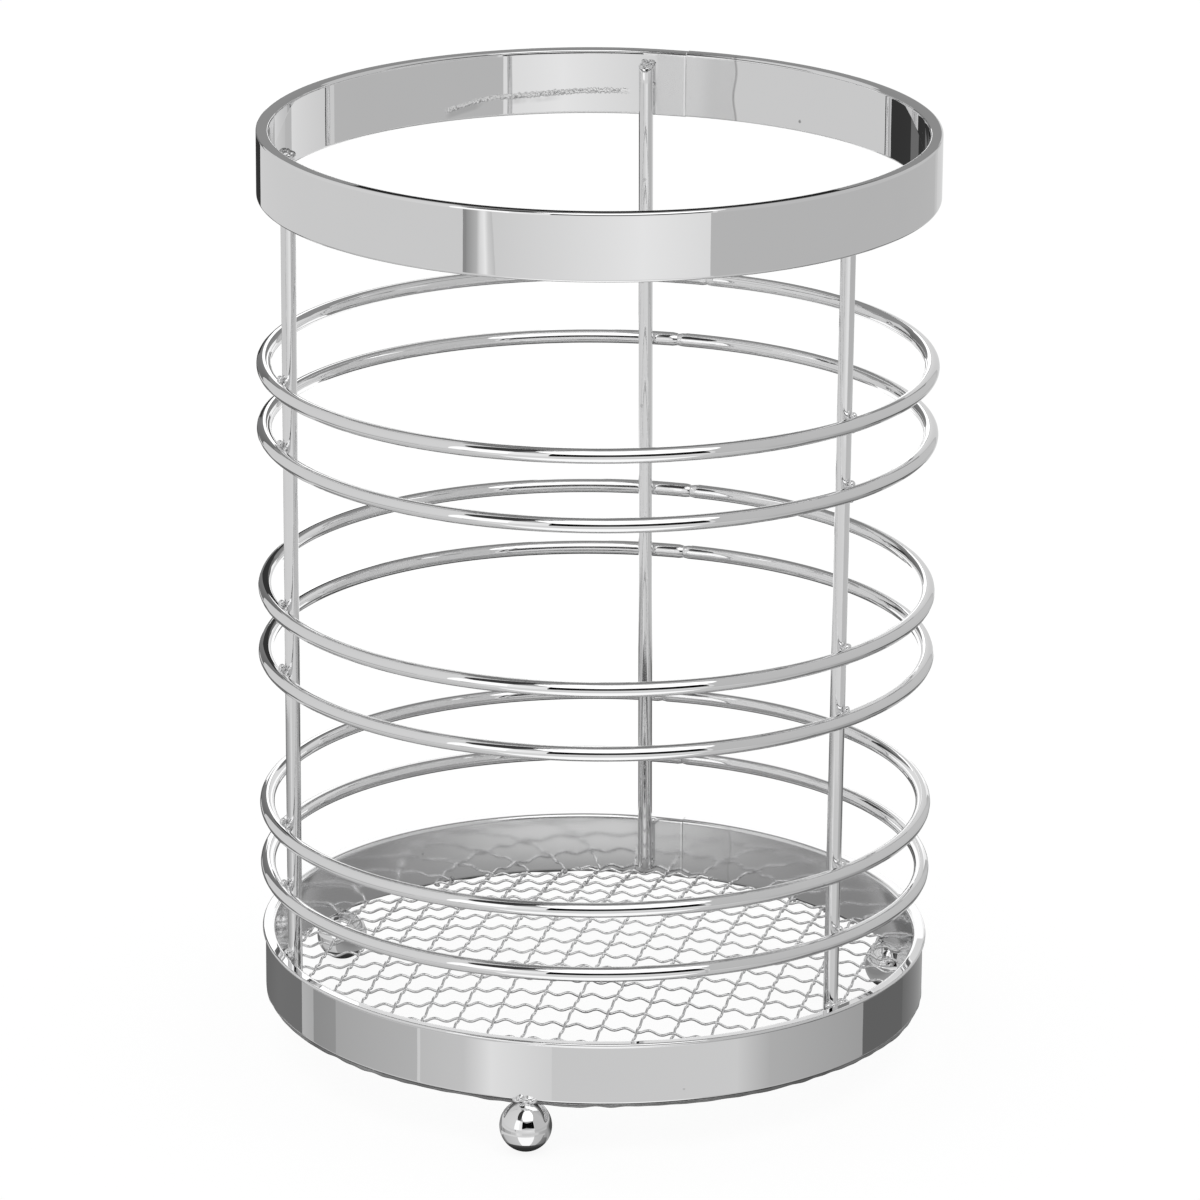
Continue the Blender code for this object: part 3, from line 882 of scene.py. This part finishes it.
def make_rim(material):
    """The floor's cut and burnt edge, welded to the underside of the lower band: a thin uneven lip."""
    band_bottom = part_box("lower_band")[0].z
    shake = np.random.default_rng(11)
    angles = np.linspace(0, FULL_TURN, RIM_SEGMENTS, endpoint=False)
    knobs = np.zeros(RIM_SEGMENTS)
    for waves in range(*RIM_WAVES):
        knobs += shake.normal() * np.sin(waves * angles + shake.uniform(0, FULL_TURN)) / math.sqrt(waves)
    knobs /= np.abs(knobs).max()
    sections = []
    for angle, knob in zip(angles, knobs):
        half_high = (RIM_HEIGHTS[0] + RIM_HEIGHTS[1] * math.cos(angle) + RIM_HEIGHTS[2] * knob) * MM
        half_wide = (RIM_WIDTHS[0] + RIM_WIDTHS[1] * knob) * MM
        middle_z = band_bottom - half_high + RIM_BITE - sink_at(RIM_RADIUS * math.sin(angle))
        section = []
        for i in range(RIM_SIDES):
            turn = FULL_TURN * i / RIM_SIDES
            radius = RIM_RADIUS + half_wide * math.cos(turn)
            z = middle_z + half_high * math.sin(turn)
            section.append((radius * math.sin(angle), -radius * math.cos(angle), z))
        sections.append(section)
    keep(swept("floor_brazed_rim", np.array(sections), material, closed=True), "floor_mesh")


# Feet

def make_foot(side, tree, material, weld):
    """A steel ball, and the lumps of weld metal between it and the band's edge."""
    node = f"foot_{side}"
    low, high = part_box(node)
    centre = (low + high) / 2
    sections = []
    for step in range(BALL_ROWS + 1):
        angle = math.radians(-BALL_POLE + 2 * BALL_POLE * step / BALL_ROWS)
        r, z = BALL_RADIUS * math.cos(angle), BALL_RADIUS + BALL_RADIUS * math.sin(angle)
        turns = [FULL_TURN * i / BALL_SIDES for i in range(BALL_SIDES)]
        sections.append([(centre.x + r * math.cos(t), centre.y + r * math.sin(t), z) for t in turns])
    keep(swept(f"ball_{side}", np.array(sections), material), "foot_chrome", node)
    shake = random.Random(len(side) + 3).uniform
    band_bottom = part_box("lower_band")[0].z
    azimuth = math.degrees(math.atan2(centre.x, -centre.y))
    places = []
    for spread, rise, size in FOOT_LUMPS:
        x, y = plan_place(FOOT_WELD_RADIUS, azimuth + spread + shake(-0.2, 0.2))
        place = (x, y, band_bottom + rise * MM)
        places.append((place, (0.0, 0.0, math.radians(azimuth)), (1.1 * size, 1.0, 0.75 * size)))
    keep(lumps(tree, f"foot_weld_{side}", places, FOOT_LUMP, weld), "foot_chrome")


# Stage

def card_row(layer, low, high, *spans):
    """Upright cards between two elevations: (left, right, grey), or with a grey for each end."""
    return [
        (layer, ((left, low), (right, low), (right, high), (left, high)), greys[0], greys[-1])
        for left, right, *greys in spans
    ]


def studio_cards():
    """The room that the plate mirrors: cards by their corners, with a grey at the left and the right end.

    Each card is (layer, azimuths and elevations of its lower left, lower right, upper right and upper left
    corner, grey left, grey right). A higher layer stands in front. Elevations count from the holder's middle.
    """
    walls = card_row(
        0, -35, 90, (-180, -150, 0.35, 0.76), (-150, -48, 0.77, 0.81), (-48, 38, 0.8, 0.82),
        (38, 150, 0.71, 0.73), (150, 180, 0.72, 0.35),
    )
    # The ground cards are dark behind the holder and at its sides: a painted shade of the floor round the
    # holder, for mirrors only
    ground = card_row(
        0, -90, -35, (-180, -120, 0.2, 0.6), (-120, -35, 0.7, 0.76), (-35, 38, 0.97), (38, 85, 0.74, 0.7),
        (85, 140, 0.5, 0.38), (140, 180, 0.3, 0.2),
    ) + card_row(1, -42, -26, (92, 138, 0.62, 0.5))
    windows = [
        (1, ((-14, 33), (38, 33), (73, 78), (-43, 84)), 1.05, 1.05),
        (1, ((-43, 33), (-28, 33), (-22, 83), (-76, 79)), 0.2, 0.24),
        (1, ((-150, 64), (-88, 72), (-60, 87), (-150, 86)), 0.4, 0.3),
        (0.5, ((-28, 31), (-14, 31), (-18, 78), (-44, 76)), 0.6, 0.66),
        *card_row(1, -6, 31, (-48, -28, 1.0), (-28, -15, 0.92, 0.88)),
        *card_row(1, -1, 31, (-15, 36.3, 0.6)),
        (2, ((-15, -1), (4, 5), (4, 24), (-15, 30)), 0.03, 0.03),
        (2, ((4, 5), (36.3, 0), (36.3, 29), (4, 24)), 0.03, 0.03),
    ]
    back = [
        *card_row(1, -14, 13, (156, 180, 0.9, 1.03)),
        *card_row(1, -14, 26, (-180, -168, 1.03)),
        *card_row(1, 13, 25, (156, 180, 0.52, 0.46)),
        *card_row(0.5, -30, 26, (-168, -144, 0.48, 0.4)),
        *card_row(0.5, 26, 90, (-180, -150, 0.5)),
        *card_row(0.5, 25, 90, (150, 180, 0.5)),
    ]
    upper_band = [
        *card_row(
            2, -13, -8, (-180, -154.6, 0.22, 0.18), (-154.6, -43.9, 0.775), (-43.9, -42.7, 0.52),
            (-42.7, -39.2, 0.55, 0.68),
        ),
        (2, ((-39.2, -13), (-34.5, -13), (-37.4, -8), (-39.2, -8)), 0.68, 0.89),
        (2, ((-34.5, -13), (-29.5, -13), (-35.6, -8), (-37.4, -8)), 0.89, 0.72),
        *card_row(
            1, -13, -8, (-43.9, 14, 0.76, 0.88), (14, 36.2, 0.88, 0.84), (36.2, 150, 0.69),
            (150, 180, 0.72, 0.84),
        ),
    ]
    lower_band = card_row(
        1, -29, -19, (-180, -142, 0.35, 0.42), (-142, -120, 0.42), (-120, -112, 0.68, 0.65),
        (-112, -98.8, 0.54, 0.56), (-98.8, -61.5, 0.63, 0.68),
    ) + card_row(2, -29, -19, (-61.5, -60.3, 0.78)) + card_row(
        1, -29, -19, (-61.5, -44, 0.715, 0.74), (-44, -34, 0.74, 0.855), (-34, -13.5, 0.855, 0.795),
        (-13.5, 50, 0.765, 0.775), (50, 62, 0.77, 0.67), (62, 105.7, 0.665, 0.6), (105.7, 135, 0.37),
        (135, 168, 0.4, 0.6), (168, 180, 0.45, 0.35),
    )
    return walls + ground + windows + back + upper_band + lower_band


def glow_material(name):
    """A material that glows as strongly as each point's own mark says."""
    material = bpy.data.materials.new(name)
    material.use_nodes = True
    tree = material.node_tree
    tree.nodes.clear()
    glow = made(tree, "ShaderNodeAttribute", output="Fac", attribute_name="glow")
    light = made(tree, "ShaderNodeEmission", {"Strength": glow})
    add_node(tree, "ShaderNodeOutputMaterial", {"Surface": light})
    return material


def glowing(name, points, faces, glows, material):
    """A glowing sheet that only mirrors see."""
    mesh = bpy.data.meshes.new(name)
    mesh.from_pydata(points, [], faces)
    attribute = mesh.attributes.new("glow", "FLOAT", "POINT")
    attribute.data.foreach_set("value", glows)
    mesh.materials.append(material)
    sheet = link(bpy.data.objects.new(name, mesh))
    sheet.visible_camera = False
    sheet.visible_diffuse = False
    sheet.visible_shadow = False


def shade_disc(name, middle, rings, material):
    """A shade on the table: (radius in mm, grey) from its middle outwards."""
    points = [middle]
    glows = [plate_light(rings[0][1])]
    faces = []
    for ring, (reach, grey) in enumerate(rings[1:]):
        for i in range(SHADE_SIDES):
            x, y = direction(360 / SHADE_SIDES * i)
            points.append((middle[0] + reach * MM * x, middle[1] + reach * MM * y, middle[2]))
            glows.append(plate_light(grey))
            here = 1 + ring * SHADE_SIDES + i
            there = 1 + ring * SHADE_SIDES + (i + 1) % SHADE_SIDES
            faces.append((here - SHADE_SIDES, there - SHADE_SIDES, there, here) if ring else (0, there, here))
    glowing(name, points, faces, glows, material)


def plate_light(grey):
    """The light that reads as this grey in bright plate."""
    return linear(min(grey, 1.0)) / PLATE_BRIGHTNESS * (1.0 + 4.0 * max(0.0, grey - 1.0))


def card_cells(card):
    """Columns and rows of cells that a card is cut into, so that it follows the dome."""
    _, (lower_left, lower_right, upper_right, upper_left), _, _ = card
    wide = max(abs(lower_right[0] - lower_left[0]), abs(upper_right[0] - upper_left[0]))
    high = max(abs(upper_left[1] - lower_left[1]), abs(upper_right[1] - lower_right[1]))
    return max(1, math.ceil(wide / CARD_CELL)), max(1, math.ceil(high / CARD_CELL))


def make_dome(material):
    """The dome of pale and dark cards."""
    points, faces, glows = [], [], []
    for card in studio_cards():
        layer, corners, first, last = card
        reach = STUDIO_RADIUS - LAYER_STEP * layer
        columns, rows = card_cells(card)
        base = len(points)
        for row in range(rows + 1):
            for column in range(columns + 1):
                s, t = column / columns, row / rows
                azimuth, elevation = (
                    (1 - s) * ((1 - t) * corners[0][k] + t * corners[3][k])
                    + s * ((1 - t) * corners[1][k] + t * corners[2][k])
                    for k in (0, 1)
                )
                rise = math.radians(elevation)
                x, y = direction(azimuth)
                flat = reach * math.cos(rise)
                points.append((flat * x, flat * y, STUDIO_MIDDLE + reach * math.sin(rise)))
                glows.append(plate_light(first + (last - first) * s))
        for row in range(rows):
            for column in range(columns):
                corner = base + row * (columns + 1) + column
                faces.append((corner, corner + 1, corner + columns + 2, corner + columns + 1))
    glowing("studio_dome", points, faces, glows, material)


def make_studio():
    """The dome of cards, a few cards close to the holder, and the holder's own shade on the table."""
    cloth = glow_material("studio_cards")
    make_dome(cloth)
    for name, (left, right), (low, high), greys in NEAR_CARDS:
        corners = [(*left, low), (*right, low), (*right, high), (*left, high)]
        glowing(name, corners, [(0, 1, 2, 3)], [plate_light(greys[i]) for i in (0, 1, 1, 0)], cloth)
    shade_disc("table_shade", (0.0, 0.0, 0.1 * MM), TABLE_SHADE, cloth)
    shade_disc("near_shade", (0.0, NEAR_SHADE_Y, 0.12 * MM), NEAR_SHADE, cloth)
    for side in FEET:
        low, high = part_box(f"foot_{side}")
        middle = (low + high) / 2
        shade_disc(f"foot_shade_{side}", (middle.x, middle.y, 0.15 * MM), FOOT_SHADE, cloth)


def make_stage():
    """A white table that keeps a faint shadow of the holder, and an even white room."""
    work = bmesh.new()
    bmesh.ops.create_grid(work, x_segments=1, y_segments=1, size=TABLE_REACH)
    mesh = bpy.data.meshes.new("table")
    work.to_mesh(mesh)
    work.free()
    material = bpy.data.materials.new("white_table")
    material.use_nodes = True
    tree = material.node_tree
    shader = tree.nodes["Principled BSDF"]
    # Seen from below, the table is clear
    below = made(tree, "ShaderNodeNewGeometry", output="Backfacing")
    clear = made(tree, "ShaderNodeBsdfTransparent")
    one_sided = made(tree, "ShaderNodeMixShader", {0: below, 1: Value(shader.outputs[0]), 2: clear})
    tree.links.new(one_sided.socket, tree.nodes["Material Output"].inputs["Surface"])
    looks = {
        "Base Color": (TABLE_SHADED, TABLE_SHADED, TABLE_SHADED, 1.0),
        "Emission Color": (1.0, 1.0, 1.0, 1.0),
        "Emission Strength": 1.0 - TABLE_SHADED + 0.01,
        "Roughness": 1.0,
        "Specular IOR Level": 0.0,
    }
    for key, value in looks.items():
        shader.inputs[key].default_value = value
    mesh.materials.append(material)
    table = link(bpy.data.objects.new("table", mesh))
    table.visible_glossy = False
    world = bpy.data.worlds.new("white_room")
    world.use_nodes = True
    world.node_tree.nodes["Background"].inputs["Color"].default_value = (1.0, 1.0, 1.0, 1.0)
    world.node_tree.nodes["Background"].inputs["Strength"].default_value = 1.0
    bpy.context.scene.world = world


def make_camera():
    """The photograph's camera."""
    pitch = math.radians(CAMERA_PITCH)
    yaw = math.radians(CAMERA_YAW)
    roll = math.radians(CAMERA_ROLL)
    forward = Vector((math.sin(yaw) * math.cos(pitch), math.cos(yaw) * math.cos(pitch), -math.sin(pitch)))
    level = Vector((math.cos(yaw), -math.sin(yaw), 0.0))
    steep = forward.cross(level)
    right = math.cos(roll) * level + math.sin(roll) * steep
    down = -math.sin(roll) * level + math.cos(roll) * steep
    camera = bpy.data.cameras.new("photo_camera")
    camera.lens = CAMERA_LENS
    camera.sensor_width = CAMERA_SENSOR
    camera.clip_start, camera.clip_end = CAMERA_CLIPS
    holder = link(bpy.data.objects.new("photo_camera", camera))
    columns = zip(right, -down, -forward, CAMERA_PLACE)
    holder.matrix_world = Matrix([*columns, (0.0, 0.0, 0.0, 1.0)])
    bpy.context.scene.camera = holder


def main():
    """The camera, stage and studio, and then every piece of the holder."""
    make_camera()
    make_stage()
    make_studio()
    bpy.context.scene.view_settings.view_transform = "Standard"
    finishes = make_finishes()
    for node in BAND_SEAMS:
        make_band(node, finishes[node])
    make_rings(finishes["ring"])
    for side in UPRIGHT_LEANS:
        make_upright(side, finishes["upright"])
    lump_tree = nugget_tree()
    shake = random.Random(5).uniform
    make_ring_welds(lump_tree, finishes["weld"], shake)
    make_band_welds(lump_tree, finishes["weld"], shake)
    make_burr(lump_tree, finishes["knot"])
    make_floor(finishes["mesh"])
    make_rim(finishes["burnt"])
    make_knots(lump_tree, finishes["knot"])
    for side in FEET:
        make_foot(side, lump_tree, finishes["foot"], finishes["weld"])


main()
